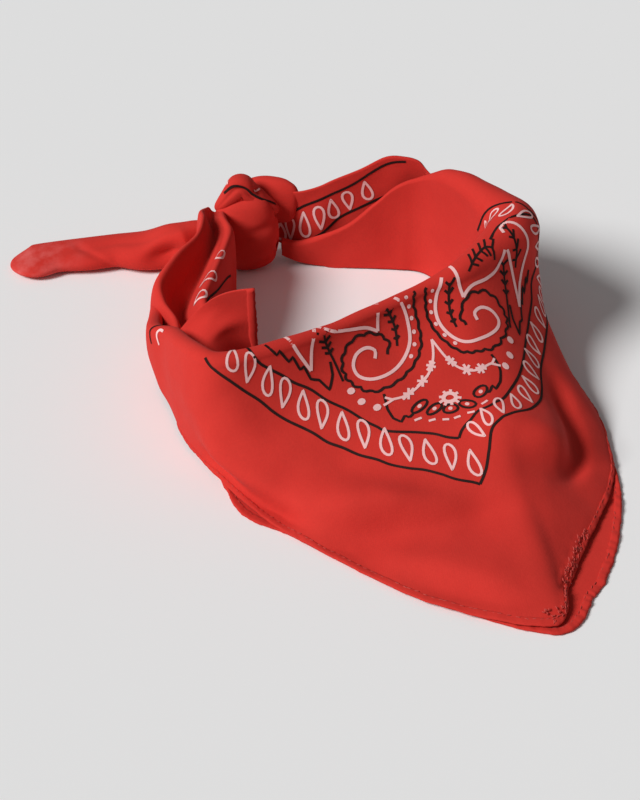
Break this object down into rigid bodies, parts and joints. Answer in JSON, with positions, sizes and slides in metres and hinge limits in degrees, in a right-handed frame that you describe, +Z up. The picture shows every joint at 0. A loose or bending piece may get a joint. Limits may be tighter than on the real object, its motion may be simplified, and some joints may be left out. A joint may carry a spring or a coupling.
{
  "type": "paisley bandana tied in a neck loop",
  "caption": "Square cotton bandana folded to a triangle, turned in at the neck and tied in a knot at one side, standing as an open ring with its corner hanging forward.",
  "frame": {"origin": "centre of the outline in plan, on the surface the cloth rests on", "axes": "+Z up, +Y away from the hanging corner as the picture looks at it, +X to the viewer's right, towards the turned shoulder of the ring; the knot's tail lies out along -X"},
  "size_m": [0.2786, 0.2863, 0.0707],
  "materials": {
    "cotton": "matt plain-woven printed cotton",
    "cotton_under": "matt plain-woven cotton, lower layer"
  },
  "bodies": {
    "root": {"front_drape": "cotton", "inner_band": "cotton", "lower_layer": "cotton_under", "back_layer": "cotton", "left_strand": "cotton", "neck_flap": "cotton", "knot_wrap": "cotton", "knot_over": "cotton", "knot_back": "cotton", "tail": "cotton"}
  },
  "joints": []
}
